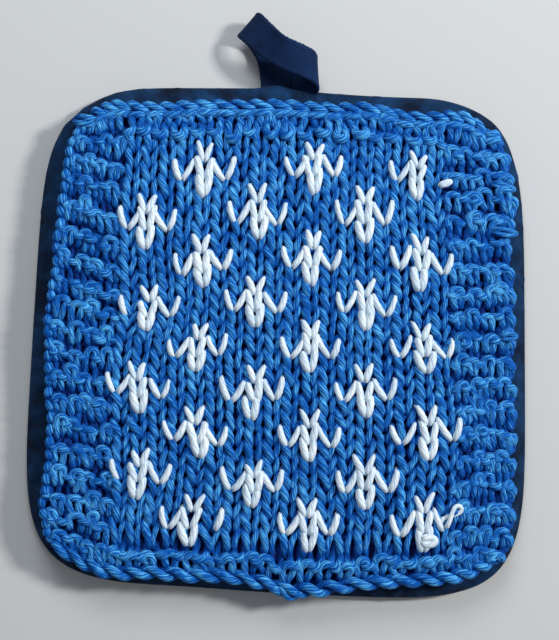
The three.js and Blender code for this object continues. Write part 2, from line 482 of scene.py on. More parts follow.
def yarn_tree():
    """Geometry nodes that turn lines into twisted, plied yarn."""
    tree = bpy.data.node_groups.new("plied_yarn", "GeometryNodeTree")
    sockets = {}
    for name, direction, kind in (
        ("Lines", "INPUT", "NodeSocketGeometry"),
        ("Yarn", "OUTPUT", "NodeSocketGeometry"),
        ("Radius", "INPUT", "NodeSocketFloat"),
        ("Ply depth", "INPUT", "NodeSocketFloat"),
        ("Length of a turn", "INPUT", "NodeSocketFloat"),
        ("Material", "INPUT", "NodeSocketMaterial"),
    ):
        sockets[name] = tree.interface.new_socket(name=name, in_out=direction, socket_type=kind).identifier
    given = add_node(tree, "NodeGroupInput").outputs
    math_node = "ShaderNodeMath"
    # The section: four plies of two strands, with a deep groove beside each ply and a shallow one within it.
    circle = add_node(
        tree, "GeometryNodeCurvePrimitiveCircle", {"mode": "RADIUS"}, {"Resolution": 16, "Radius": 1.0}
    )
    index = add_node(tree, "GeometryNodeInputIndex")
    step = add_node(tree, math_node, {"operation": "MODULO"}, {0: index.outputs[0], 1: 4.0})
    strand = add_node(tree, math_node, {"operation": "MINIMUM"}, {0: step.outputs[0], 1: 1.0})
    within = add_node(tree, math_node, {"operation": "COMPARE"}, {0: step.outputs[0], 1: 2.0, 2: 0.5})
    crest = add_node(
        tree, math_node, {"operation": "MULTIPLY_ADD"}, {0: within.outputs[0], 1: -0.45, 2: strand.outputs[0]}
    )
    groove = add_node(tree, math_node, {"operation": "SUBTRACT"}, {0: 1.0, 1: crest.outputs[0]})
    sunk = add_node(tree, math_node, {"operation": "MULTIPLY"}, {0: groove.outputs[0], 1: given["Ply depth"]})
    kept = add_node(tree, math_node, {"operation": "SUBTRACT"}, {0: 1.0, 1: sunk.outputs[0]})
    radius = add_node(tree, math_node, {"operation": "MULTIPLY"}, {0: kept.outputs[0], 1: given["Radius"]})
    place = add_node(tree, "GeometryNodeInputPosition")
    marked_place = add_node(
        tree, "GeometryNodeStoreNamedAttribute", {"data_type": "FLOAT_VECTOR", "domain": "POINT"},
        {"Geometry": circle.outputs["Curve"], "Name": "ply_place", "Value": place.outputs[0]},
    )
    marked_crest = add_node(
        tree, "GeometryNodeStoreNamedAttribute", {"data_type": "FLOAT", "domain": "POINT"},
        {"Geometry": marked_place.outputs[0], "Name": "ply_crest", "Value": crest.outputs[0]},
    )
    lobed = add_node(
        tree, "ShaderNodeVectorMath", {"operation": "SCALE"},
        {0: place.outputs[0], "Scale": radius.outputs[0]},
    )
    section = add_node(
        tree, "GeometryNodeSetPosition", None,
        {"Geometry": marked_crest.outputs[0], "Position": lobed.outputs[0]},
    )
    # The lines, twisted along their length.
    line = add_node(tree, "GeometryNodeMeshToCurve", None, {"Mesh": given["Lines"]})
    travelled = add_node(tree, "GeometryNodeSplineParameter")
    marked_line = add_node(
        tree, "GeometryNodeStoreNamedAttribute", {"data_type": "FLOAT", "domain": "POINT"},
        {"Geometry": line.outputs[0], "Name": "yarn_along", "Value": travelled.outputs["Length"]},
    )
    turns = add_node(
        tree, math_node, {"operation": "DIVIDE"},
        {0: travelled.outputs["Length"], 1: given["Length of a turn"]},
    )
    tilt = add_node(tree, math_node, {"operation": "MULTIPLY"}, {0: turns.outputs[0], 1: -2 * math.pi})
    twisted = add_node(
        tree, "GeometryNodeSetCurveTilt", None, {"Curve": marked_line.outputs[0], "Tilt": tilt.outputs[0]}
    )
    thickness = add_node(
        tree, "GeometryNodeInputNamedAttribute", {"data_type": "FLOAT"}, {"Name": "thickness"}
    )
    yarn = add_node(
        tree, "GeometryNodeCurveToMesh", None,
        {
            "Curve": twisted.outputs[0], "Profile Curve": section.outputs[0],
            "Scale": thickness.outputs[0], "Fill Caps": True,
        },
    )
    # Loose fibres and slubs make the outline of the yarn a little rough.
    lumps = add_node(
        tree, "ShaderNodeTexNoise", None, {"Scale": 1100.0, "Detail": 1.0, "Roughness": 0.6}
    )
    push = add_node(
        tree, "ShaderNodeMapRange", {"clamp": False},
        {
            "Value": lumps.outputs["Fac"], "From Min": 0.3, "From Max": 0.7,
            "To Min": -yarn_lumps * mm, "To Max": yarn_lumps * mm,
        },
    )
    outwards = add_node(tree, "GeometryNodeInputNormal")
    offset = add_node(
        tree, "ShaderNodeVectorMath", {"operation": "SCALE"},
        {0: outwards.outputs[0], "Scale": push.outputs[0]},
    )
    rough = add_node(
        tree, "GeometryNodeSetPosition", None, {"Geometry": yarn.outputs[0], "Offset": offset.outputs[0]}
    )
    smooth = add_node(tree, "GeometryNodeSetShadeSmooth", None, {"Geometry": rough.outputs[0]})
    real = add_node(tree, "GeometryNodeRealizeInstances", None, {"Geometry": smooth.outputs[0]})
    finished = add_node(
        tree, "GeometryNodeSetMaterial", None,
        {"Geometry": real.outputs[0], "Material": given["Material"]},
    )
    add_node(tree, "NodeGroupOutput", None, {"Yarn": finished.outputs[0]})
    return tree, sockets


plied_yarn, yarn_sockets = yarn_tree()


def yarn_piece(name, strands, material):
    """Yarn along some strands: arrays of points, of its thickness, and of how far in front it lies."""
    points, thickness, in_front = (np.concatenate([strand[k] for strand in strands]) for k in range(3))
    edges, start = [], 0
    for line, _, _ in strands:
        edges += [(start + step, start + step + 1) for step in range(len(line) - 1)]
        start += len(line)
    piece = mesh_piece(name, points, [], None, edges)
    for attribute_name, values in (("thickness", thickness), ("in_front", in_front)):
        attribute = piece.data.attributes.new(attribute_name, "FLOAT", "POINT")
        attribute.data.foreach_set("value", values.astype(np.float32))
    modifier = piece.modifiers.new("plied_yarn", "NODES")
    modifier.node_group = plied_yarn
    modifier[yarn_sockets["Radius"]] = yarn_radius * mm
    modifier[yarn_sockets["Ply depth"]] = ply_depth
    modifier[yarn_sockets["Length of a turn"]] = ply_turn * mm
    modifier[yarn_sockets["Material"]] = material
    return apply_modifiers(piece)


# --- One row of loops ---

# How the yarn lies at a foot, a leg or a head: how far in front of the middle of the cloth, and how
# thick it looks there, because it is squeezed where loops pull through each other.
stockinette_leg = (1.05, 1.06)
stockinette_back = (-1.1, 0.82)
smile = (1.4, 1.16)
frown = (1.1, 1.1)
ridge_back = (-1.6, 0.85)
valley_leg = (0.8, 1.12)
sunk_leg = (-0.7, 1.0)
# A slack stitch leans more, and a fuller leg stands up by this much.
slack_in_lean, rise_of_full_leg = 0.15, 1.5


def stockinette_loop():
    """A V, whose feet and head lie behind. Its legs lean by shares of the stitch's width."""
    return {
        "drop": 4.5, "rise": 4.5, "lean_in": 0.19, "lean_out": 0.26,
        "foot": stockinette_back, "leg": stockinette_leg, "head": stockinette_back, "stray": 1.0,
        "lopsided": 0.12,
    }


def garter_loop(purled):
    """Where a row is purled its feet stand out as smiles, and the heads of the row under it as frowns."""
    return {
        "drop": 3.5 if purled else 3.75, "rise": 3.75 if purled else 3.1,
        "lean_in": 0.14 if purled else 0.2, "lean_out": 0.12 if purled else 0.15,
        "foot": smile if purled else ridge_back,
        "leg": sunk_leg if purled else valley_leg,
        "head": ridge_back if purled else frown,
        "stray": 2.4,
    }


def from_foot_to_foot(foot, leg, head, turn):
    """A value that goes from foot to leg to head and back again along a loop."""
    at_leg = (1 - np.cos(2 * turn)) / 2
    upper = (1 - np.cos(turn)) / 2 > 0.5
    return np.where(upper, head, foot) * (1 - at_leg) + leg * at_leg


def as_line(across, along, depth, thickness):
    """A line of yarn, with a last axis of across, along, depth and thickness."""
    return np.stack(np.broadcast_arrays(across, along, depth, thickness), axis=-1)


class Block:
    """A block of knitting: where its stitches and rows are, and how unevenly it is knitted."""

    def __init__(self, edges, row_places, loops, seed):
        self.edges, self.row_places, self.loops = edges, row_places, loops
        rows, stitches = len(row_places), len(edges) - 1
        strays = np.random.default_rng(seed)
        self.foot_stray = strays.normal(0, (0.3, 0.3, 0.14), (rows, stitches + 1, 3))
        self.head_stray = strays.normal(0, (0.4, 0.42, 0.2), (rows, stitches, 3))
        self.slack = strays.normal(0, 1, (rows, stitches))

    def row(self, row):
        """One row from left to right, as steps by stitches by (across, along, depth, thickness)."""
        loop = self.loops[row]
        turn = (np.arange(steps_in_stitch) / steps_in_stitch * 2 * np.pi)[:, None]
        left, width = self.edges[:-1], np.diff(self.edges)
        lean_in, lean_out = loop["lean_in"], loop["lean_out"]
        lean = (lean_in + lean_out) / 2 - (lean_out - lean_in) / 2 * np.cos(turn)
        lean = lean * (1 + slack_in_lean * self.slack[row])
        across = left + width * (turn / (2 * np.pi) + lean * np.sin(2 * turn))
        reach = np.where(np.cos(turn) > 0, loop["drop"], loop["rise"])
        level = np.sign(np.cos(turn)) * np.abs(np.cos(turn)) ** loop.get("roundness", 1.0)
        along = self.row_places[row] - reach * level
        depth, thickness = (
            from_foot_to_foot(loop["foot"][k], loop["leg"][k], loop["head"][k], turn) for k in (0, 1)
        )
        # The twist of the yarn makes the left leg of a loop stand up fuller than the right one.
        fullness = loop.get("lopsided", 0.0) * np.sin(turn)
        depth, thickness = depth + rise_of_full_leg * fullness, thickness * (1 + fullness)
        rise = (1 - np.cos(turn)) / 2
        line = as_line(across, along, depth, thickness)
        for axis in range(3):
            feet = self.foot_stray[row, :, axis]
            foot = np.where(turn < np.pi, feet[:-1], feet[1:])
            line[:, :, axis] += loop["stray"] * ((1 - rise) * foot + rise * self.head_stray[row, :, axis])
        return line

    def turning(self, row, side, bulge, depth):
        """The yarn turning up from the end of one row into the next, bulging outwards or hidden behind."""
        turn = np.linspace(0, np.pi, 9)[1:-1]
        edge, outwards = (self.edges[-1], 1) if side == "right" else (self.edges[0], -1)
        start = self.row_places[row] - self.loops[row]["drop"]
        end = self.row_places[row + 1] - self.loops[row + 1]["drop"]
        share = (1 - np.cos(turn)) / 2
        bulge = bulge * (0.6 + 0.5 * abs(self.slack[row, 0]))
        across = edge + outwards * bulge * np.sin(turn)
        along = start + (end - start) * share
        from_depth, from_thickness = self.loops[row]["foot"]
        to_depth, to_thickness = self.loops[row + 1]["foot"]
        deep = from_depth + (to_depth - from_depth) * share + depth * np.sin(turn)
        thickness = from_thickness + (to_thickness - from_thickness) * share
        return as_line(across, along, deep, thickness)


def strand_of(line):
    """Steps by stitches as one strand."""
    return line.transpose(1, 0, 2).reshape(-1, 4)


# --- The chart of the knitting ---

field_left = field_middle - field_stitches / 2 * field_stitch_width
field_right = field_middle + field_stitches / 2 * field_stitch_width
# The outermost stitches end a little inside the panel's outline, because the yarn bulges past them.
outer_left, outer_right = -(reach_left - 1.9), reach_right - 1.1

field_rows = range(last_field_row + 1 + len(top_border_places))
field_places = [bottom_row_place + field_row_height * row for row in range(last_field_row + 1)]
field_places += top_border_places
field_loops = []
for row in field_rows:
    in_field = first_field_row <= row <= last_field_row
    purled = row in (first_field_row - 1, last_field_row + 1)
    field_loops.append(stockinette_loop() if in_field else garter_loop(purled))
field_loops[0].update(drop=3.0, rise=2.8, head=(1.3, 1.36))
field_loops[1].update(foot=(1.7, 1.5))
field_loops[first_field_row].update(drop=7.0, foot=ridge_back)
# The last row of the field reaches up to the top border's ridge.
field_loops[last_field_row].update(rise=4.9, lean_out=0.14, head=(-0.2, 0.95))
for row in (last_field_row + 1, last_field_row + 2):
    field_loops[row].update(drop=3.1, rise=3.3)
# Its purled row shows as a line of fat bowls.
field_loops[last_field_row + 1].update(foot=(1.7, 1.5), leg=(0.5, 1.12), head=(-0.8, 0.9), lean_in=0.12)
field = Block(np.linspace(field_left, field_right, field_stitches + 1), field_places, field_loops, 7)

side_places = [bottom_row_place + side_row_height * row for row in range(side_rows)]
side_borders = {}
# The loops are drawn up square here, with upright legs and flat heads and feet: 1 would be round.
side_loop_roundness = 0.55
# On the left the grains of the firm selvedge cover the outermost loops.
grain_width = 1.6
for seed, (side, inner, outer) in enumerate((
    ("left", field_left, outer_left + grain_width), ("right", field_right, outer_right),
)):
    edges = np.linspace(min(inner, outer), max(inner, outer), side_stitches + 1)
    loops = [{**garter_loop(row % 2 == 1), "roundness": side_loop_roundness} for row in range(side_rows)]
    side_borders[side] = Block(edges, side_places, loops, 20 + seed)


def star_middles():
    """The middle stitch of each white star, from the top row down, each row set half a repeat along."""
    middles = []
    for place in range(star_rows):
        first = first_star_stitches[place % 2]
        for number in range(stars_in_row):
            middles.append((top_star_row - stars_every_rows * place, first + stars_every_stitches * number))
    return middles


# Side stitches of a few stars have a leg pulled down out of sight: the star's number, the stitch, the leg.
slipped_legs = {
    (2, "right", "left"), (2, "right", "right"), (9, "left", "right"), (21, "left", "right"),
    (24, "right", "left"), (26, "right", "right"),
}


def as_knitted(across, along):
    """Where a point of the even chart really lies: columns wander, and rows and columns sway."""
    shift_across = sum(shift * np.sin(along / length + phase) for shift, length, phase in column_wander)
    shift_along = np.zeros_like(along)
    keep_across = 1 - smoothstep(np.abs(across), *sway_fades_across)
    keep_along = 1 - smoothstep(np.abs(along), *sway_fades_along)
    for middle_across, middle_along, reach_across, reach_along, push_across, push_along in sways:
        apart = ((across - middle_across) / reach_across) ** 2
        apart = apart + ((along - middle_along) / reach_along) ** 2
        near = np.exp(-apart)
        shift_across = shift_across + push_across * near * keep_across
        shift_along += push_along * near * keep_along
    return across + shift_across, along + shift_along


# --- The blue yarn ---


def to_and_fro(block, rows, bulges):
    """One length of yarn knitted to and fro over several rows."""
    parts = []
    for row in rows:
        to_right = row % 2 == 0
        line = strand_of(block.row(row))
        parts.append(line if to_right else line[::-1])
        if row + 1 in rows:
            side = "right" if to_right else "left"
            parts.append(block.turning(row, side, *bulges[side]))
    return np.concatenate(parts)


# How firmly the outermost yarn is drawn up into upright grains. The left edge has grains of its own.
edge_firmness = {"left": 0.0, "right": 0.5}
# Within this reach of the edge the yarn is drawn together to half its play.
edge_play = 1.6
# How far in from the edge the grains are full, and where they end.
grain_reach = (0.9, 3.4)
# The slope of the side rows builds up along the first stretch, and dies away along the second.
slope_begins, slope_ends = (-82, -66), (58, 76)
# The yarn's last few points, at the end of the last row, are left off.
points_left_off = 5
# How far the yarn bulges out where it turns, and how far forward: it is seen at the right selvedge, and
# hidden inside the cloth elsewhere.
selvedge, inside = (0.9, 0.3), (-1.0, -0.8)


def side_border(side):
    """A side border from bottom to top, its rows sloping down towards the field."""
    block = side_borders[side]
    edge = block.edges[0] if side == "left" else block.edges[-1]
    bulges = {"left": inside, "right": selvedge if side == "right" else inside}
    line = to_and_fro(block, range(side_rows), bulges)[:-points_left_off]
    # The outermost yarn is drawn in to a straight edge, and on the right up into one grain to a row.
    middle, outwards = (block.edges[0] + block.edges[-1]) / 2, 1 if side == "right" else -1
    inwards = outwards * (edge - line[:, 0])
    line[:, 0] = edge - outwards * np.where(inwards < edge_play, (edge_play + inwards) / 2, inwards)
    at_edge = 1 - smoothstep(inwards, *grain_reach)
    grain = np.cos(2 * np.pi * (line[:, 1] - side_places[0]) / side_row_height)
    grain_depth, grain_thickness = 0.6 + 0.7 * grain, 1.5 + 0.3 * grain
    line[:, 2] += at_edge * (grain_depth - line[:, 2]) * edge_firmness[side]
    line[:, 3] += at_edge * (grain_thickness - line[:, 3]) * edge_firmness[side]
    fading = smoothstep(line[:, 1], *slope_begins) * (1 - smoothstep(line[:, 1], *slope_ends))
    line[:, 1] += side_slope[side] * outwards * (line[:, 0] - middle) * fading
    return line


def selvedge_grains():
    """The left edge, drawn up firm: one upright grain of yarn for each row, end to end."""
    along = np.arange(side_places[0] - 2, side_places[-1], 0.25)
    grain = np.cos(2 * np.pi * (along - side_places[0]) / side_row_height)
    strays = np.random.default_rng(33).normal(0, 1, (3, side_rows + 3))
    rows_up = (along - along[0]) / side_row_height
    uneven = [np.interp(rows_up, np.arange(side_rows + 3), stray) for stray in strays]
    across = outer_left + 0.9 + 0.35 * uneven[0]
    depth = 0.1 + 0.45 * grain + 0.3 * uneven[1]
    thickness = 1.25 + 0.17 * grain + 0.1 * uneven[2]
    return as_line(across, along, depth, thickness)


# --- The white stars, which lie over the whole blue rows ---


# The five white stitches of a star, each a V of two legs, in mm from the middle of its own stitch. The
# yarn thins towards the ends of the legs, by a share of its thickness, where other loops squeeze it.
white_stitches = [
    # name, rows up, stitches right, left tip, right tip, left foot, right foot, bow, thickness, thinning
    ("top", 1, 0, (-3.2, 4.2), (3.2, 4.2), (-0.3, -3.4), (0.3, -3.4), -0.2, 0.98, 0.4),
    ("left", 0, -1, (-3.7, 4.2), (3.8, 4.4), (-0.9, -4.7), (-1.2, -4.7), 0.7, 0.94, 0.4),
    ("right", 0, 1, (-3.8, 4.4), (3.7, 4.2), (1.2, -4.7), (0.9, -4.7), 0.7, 0.94, 0.4),
    ("middle", 0, 0, (-2.6, 4.0), (2.6, 4.0), (-0.6, -4.2), (0.6, -4.2), 0.1, 1.12, 0.15),
    ("bottom", -1, 0, (-2.1, 4.2), (2.1, 4.2), (-0.1, -4.7), (0.1, -4.7), 0.6, 1.16, 0.25),
]


# How deep the ends of a leg go, and how much higher it stands between these shares of its length.
leg_end_depth, leg_height, leg_in_front = -2.3, 4.4, (0.2, 0.82)
# Between these shares of its length a leg has its full thickness.
leg_full = (0.3, 0.55)


def white_leg(middle, tip, foot, bow, thickness, thinning):
    """One leg of a white stitch, coming up out of the cloth at its foot and going in again at its tip."""
    share = np.linspace(0, 1, 14)
    outwards = np.sign(tip[0] - foot[0])
    across = middle[0] + foot[0] + (tip[0] - foot[0]) * share + outwards * bow * np.sin(np.pi * share)
    along = middle[1] + foot[1] + (tip[1] - foot[1]) * share
    depth = leg_end_depth + leg_height * raised_between(share, *leg_in_front)
    full = raised_between(share, *leg_full)
    return as_line(across, along, depth, thickness * (1 - thinning * (1 - full)))


def white_star(number, row, stitch):
    """The five white stitches of a star, as the strands of their legs."""
    strays = np.random.default_rng(500 + number)
    star_lean = strays.normal(0, 0.08)
    strands = []
    for white_stitch in white_stitches:
        name, up, right, left_tip, right_tip, left_foot, right_foot, bow, thickness, thinning = white_stitch
        stitch_edges = field.edges[stitch + right:stitch + right + 2]
        rise = field.row_places[row + up] - field.row_places[row]
        middle = np.array([stitch_edges.mean() + star_lean * rise, field.row_places[row + up]])
        middle += strays.normal(0, (0.3, 0.45))
        for leg, tip, foot in (("left", left_tip, left_foot), ("right", right_tip, right_foot)):
            tip = np.add(tip, strays.normal(0, (0.4, 0.6)))
            leg_thickness = thickness * (1 + strays.normal(0, 0.05))
            if (number, name, leg) not in slipped_legs:
                strands.append(white_leg(middle, tip, foot, bow, leg_thickness, thinning))
    return strands


# A slack loop's ends dive into the cloth between these shares of a half turn.
slack_dives, slack_depth, slack_dive = (0.75, 0.95), 2.6, 3.8
# Where a twisted loop crosses itself, one side is raised by this much and the other is lowered by it.
slack_crossing = 0.8


def slack_loop(across, along, reach_across, reach_along, tilt, thickness, eyes=1):
    """A small loop of yarn pulled out of its stitch, lying on the front. With two eyes it is twisted."""
    dive_begins, dive_ends = slack_dives
    turn = np.linspace(-dive_ends, dive_ends, 21) * np.pi
    diving = smoothstep(np.abs(turn), dive_begins * np.pi, dive_ends * np.pi)
    depth = slack_depth - slack_dive * diving
    depth = depth + slack_crossing * (eyes - 1) * np.sin(turn)
    long, short = reach_across * np.cos(turn), reach_along * np.sin(eyes * turn)
    turned_across = across + long * np.cos(tilt) - short * np.sin(tilt)
    turned_along = along + long * np.sin(tilt) + short * np.cos(tilt)
    return as_line(turned_across, turned_along, depth, thickness)


# --- The edges of the panel ---


# Where the middle of the bind-off chain lies, and how far its loops spread along the panel.
chain_place, chain_height = 81.4, 5.8
# The chain droops by this much at the corners, beginning and full this far from the middle.
chain_droop, droop_reach = 2.6, (66, 84)
# Each loop of it reaches this share of a stitch to either side, so it overlaps its neighbours.
chain_reach = 0.82
# Where the cast-on edge lies, and the length of one turn of its two strands.
cast_on_place, cast_on_turn = -83.6, 15.2


def bind_off_chain():
    """The chain that closes the top edge: one loop for each stitch, lying on its side."""
    turn = np.linspace(0.1, 1.9, 17) * np.pi
    edges = np.concatenate([side_borders["left"].edges, field.edges[1:], side_borders["right"].edges[1:]])
    parts = []
    stray = np.random.default_rng(11).normal(0, 0.25, (len(edges), 3))
    edges[0], edges[-1] = outer_left, outer_right - 1.6
    for stitch in range(len(edges) - 2, -1, -1):
        left, right = edges[stitch], edges[stitch + 1]
        centre, pitch = (left + right) / 2 + stray[stitch, 0], right - left
        lean = 0.205 - 0.035 * np.cos(turn)
        over = turn / (2 * np.pi) + lean * np.sin(2 * turn) - 0.5
        across = centre + pitch * chain_reach * np.cos(turn)
        droop = chain_droop * smoothstep(np.abs(centre), *droop_reach)
        along = chain_place - droop + chain_height * over + stray[stitch, 1] - 1.1 * np.cos(turn)
        depth = -1.2 * np.cos(2 * turn) + 0.35
        thickness = 1.05 - 0.22 * np.cos(2 * turn) + 0.04 * stray[stitch, 2]
        parts.append(as_line(across, along, depth, thickness))
    return np.concatenate(parts)


def cast_on_edge():
    """The twisted edge at the bottom: two strands wound round each other, once for every two stitches."""
    across = np.arange(outer_left + 1, outer_right - 1, 0.55)
    strands = []
    for half_turn in (0, np.pi):
        angle = 2 * np.pi * (across - outer_left) / cast_on_turn + half_turn
        uneven = 1 + 0.15 * np.sin(across / 5.3 + half_turn)
        along = cast_on_place + 1.2 * np.cos(angle) * uneven
        depth = 0.3 + 0.9 * np.sin(angle)
        thickness = 1.18 + 0.14 * np.sin(angle)
        strands.append(as_line(across, along, depth, thickness))
    return strands


def yarn_tail():
    """The short end of the yarn, which curls out below the cast-on edge and lies along it."""
    start_across, start_along, length, droop = 3.0, -83.4, 5.2, 2.2
    share = np.linspace(0, 1, 14)
    across = start_across + length * share**1.3
    along = start_along - droop * smoothstep(share, 0, 0.6)
    depth = 0.4 + 1.3 * np.sin(np.pi * share)
    return as_line(across, along, depth, 1.0 - 0.2 * share)


# --- Knit the panel ---


# Yarn this deep in the cloth gets the full painted shade, and yarn this far in front gets none and is drawn
# lightest.
deep_in_cloth, at_front = -1.4, 0.9


def laid_strand(line, seed, unevenness=0.06):
    """A strand laid on the panel. The thick and thin places of spun yarn change over about a stitch."""
    count = len(line)
    rough = np.random.default_rng(seed).normal(0, unevenness, count // steps_in_stitch + 3)
    uneven = 1 + np.interp(np.arange(count) / steps_in_stitch, np.arange(len(rough)), rough)
    points = on_panel(*as_knitted(line[:, 0], line[:, 1]), yarn_middle_lift + line[:, 2])
    return points, line[:, 3] * uneven, smoothstep(line[:, 2], deep_in_cloth, at_front)


blue_pieces = []
# The field's rows are blue from edge to edge. The white stars are laid over them, not knitted in.
hidden_turns = {"left": inside, "right": inside}
for name, first, last in (
    ("field_rows_bottom", 0, 7),
    ("field_rows_lower", 8, 15),
    ("field_rows_upper", 16, 23),
    ("field_rows_top", 24, len(field_rows) - 1),
):
    line = to_and_fro(field, range(first, last + 1), hidden_turns)
    blue_pieces.append(yarn_piece(name, [laid_strand(line, first)], blue_cotton_yarn))
for side in ("left", "right"):
    strands = [laid_strand(side_border(side), 40)]
    if side == "left":
        strands.append(laid_strand(selvedge_grains(), 43, unevenness=0.0))
    blue_pieces.append(yarn_piece(side + "_garter_border", strands, blue_cotton_yarn))
blue_pieces.append(yarn_piece("bind_off_chain", [laid_strand(bind_off_chain(), 51)], blue_cotton_yarn))
cast_on = [laid_strand(strand, 61 + number) for number, strand in enumerate(cast_on_edge())]
blue_pieces.append(yarn_piece("cast_on_edge", cast_on, blue_cotton_yarn))
pulled_out = [
    # across, along, reach across, reach along, tilt, thickness
    (79.5, 57.5, 3.4, 0.9, -0.35, 0.7),
    (80.3, 40.5, 3.9, 1.0, -0.1, 0.72),
    (81.0, 2.0, 2.4, 1.1, 0.2, 0.7),
]
loops = [laid_strand(slack_loop(*place), 71 + number) for number, place in enumerate(pulled_out)]
loops.append(laid_strand(yarn_tail(), 79))
blue_pieces.append(yarn_piece("loose_loops_and_tail", loops, blue_cotton_yarn))

white_strands = []
for number, (row, stitch) in enumerate(star_middles()):
    for strand in white_star(number, row, stitch):
        white_strands.append(laid_strand(strand, 100 + len(white_strands)))
slack_white = [
    # across, along, reach across, reach along, tilt, thickness, eyes
    (59.0, -63.2, 4.4, 1.5, 0.93, 0.72, 2),
    (51.6, -70.4, 2.3, 1.0, -0.12, 1.16, 1),
    (60.1, 57.0, 2.1, 0.5, 0.5, 0.74, 1),
]
for number, place in enumerate(slack_white):
    white_strands.append(laid_strand(slack_loop(*place), 490 + number))
white_piece = yarn_piece("white_stars", white_strands, white_cotton_yarn)


# --- The panel's own cloth, which the front of the stitches stands on, painted dark as the shaded backs of the stitches ---


# How far the cloth stops short of the panel's outline, and how high its two faces lie.
cloth_inset, cloth_faces_lift = 2.2, (0.05, 0.75)


def panel_cloth():
    """A thin closed sheet where the backs of the stitches lie together, in a dark colour of painted shade
    that shows in the gaps between the loops.
    """
    count = 60
    shares = np.linspace(-1, 1, count + 1)
    across = np.where(shares > 0, reach_right - cloth_inset, reach_left - cloth_inset) * shares
    along = np.where(shares > 0, reach_back - cloth_inset, reach_front - cloth_inset) * shares
    grid_across, grid_along = np.meshgrid(across, along)
    layers = []
    for lift in cloth_faces_lift:
        layers.append(on_panel(grid_across.ravel(), grid_along.ravel(), np.full(grid_across.size, lift)))
    side = count + 1
    size = side * side
    faces = []
    for line in range(count):
        for place in range(count):
            a = line * side + place
            faces.append((a + side, a + side + 1, a + 1, a))
            faces.append((size + a, size + a + 1, size + a + side + 1, size + a + side))
    rim = [*range(count)]
    rim += [n * side + count for n in range(count)]
    rim += [count * side + count - n for n in range(count)]
    rim += [(count - n) * side for n in range(count)]
    for first, second in zip(rim, rim[1:] + rim[:1]):
        faces.append((first, second, size + second, size + first))
    piece = mesh_piece("panel_cloth", np.concatenate(layers), faces, shaded_yarn_backs)
    give_flat_uv(piece)
    return piece


def give_flat_uv(piece):
    """A UV map in metres, straight down onto the cloth."""
    mesh = piece.data
    layer = mesh.uv_layers.new(name="UVMap")
    corners = np.zeros(len(mesh.loops), int)
    mesh.loops.foreach_get("vertex_index", corners)
    layer.data.foreach_set("uv", (read_points(mesh)[corners, :2] * mm).ravel())


panel = panel_cloth()


# --- The pad ---


# How far each ring of the cover is in from the seam, over the top and under the pad.
top_insets = [0.6, 1.3, 2.2, 3.3, 4.6, 6.2, 8.2, 10.8, 14, 18.5, 25, 34, 47, 64]
under_insets = [0.6, 1.4, 2.5, 4, 6, 8.6, 12, 17, 24, 34, 48, 66]
cover_sides = 336
# Two smaller rings close each middle, where a fan of hundreds of faces would crowd.
closing_rings = [(78, 42), (86, 6)]
shrunk_before_filling = 0.5
filling_frames = 20
filling_cloth = {
    "quality": 5,
    "mass": 0.2,
    "tension_stiffness": 8,
    "compression_stiffness": 8,
    "bending_stiffness": 0.4,
    "use_pressure": True,
    "uniform_pressure_force": 4,
    "vertex_group_mass": "seam",
}
most_swelling = 1.3
# The knitted panel holds the top down from this far in from the seam.
panel_holds_from = 5
seam_draws_in = 0.45
# How many puckers go round the pad, and how high they are.
puckers = [(38, 0.7), (64, 0.7), (96, 0.5), (140, 0.3)]


def outline_push(x, y):
    """Where the hand-sewn outline of the pad bulges or draws in."""
    inset = inset_from_pad_edge(x, y)
    push = np.zeros_like(x)
    for side, place, half_length, amount in pad_waver:
        at_side = smoothstep(y if side == "back" else -y, 40, 75)
        outwards = 1 if side == "back" else -1
        push += outwards * amount * at_side * np.exp(-(((x - place) / half_length) ** 2))
    return push * (1 - smoothstep(inset, 2, pad_waver_depth))


def gathers(angles, inset):
    """Puckers where the cloth is gathered into the seam: soft bulges with sharp creases between."""
    waves = np.random.default_rng(17)
    fold = np.zeros_like(angles)
    for count, height in puckers:
        drift = 0.5 * np.sin(5 * angles + waves.uniform(0, 6))
        drift = drift + 0.4 * np.sin(9 * angles + waves.uniform(0, 6))
        lean = waves.uniform(-0.25, 0.25)
        patch = 0.65 + 0.5 * np.cos(4 * angles + waves.uniform(0, 6))
        wave = np.abs(np.sin(count / 2 * angles + 1.4 * drift + lean * inset + waves.uniform(0, 6)))
        fold += height * patch * (wave - 0.64)
    return fold * smoothstep(inset, 0.2, 2.0) * (1 - smoothstep(inset, 6, 12))


def faces_between(lower, upper):
    """Faces that join two closed rings of points, where the larger count is a multiple of the smaller."""
    faces = []
    segments = min(len(lower), len(upper))
    for segment in range(segments):
        here, there = [], []
        for ring, side in ((lower, here), (upper, there)):
            step = len(ring) // segments
            side += [ring[(segment * step + place) % len(ring)] for place in range(step + 1)]
        faces.append(tuple(here + there[::-1]))
    return faces


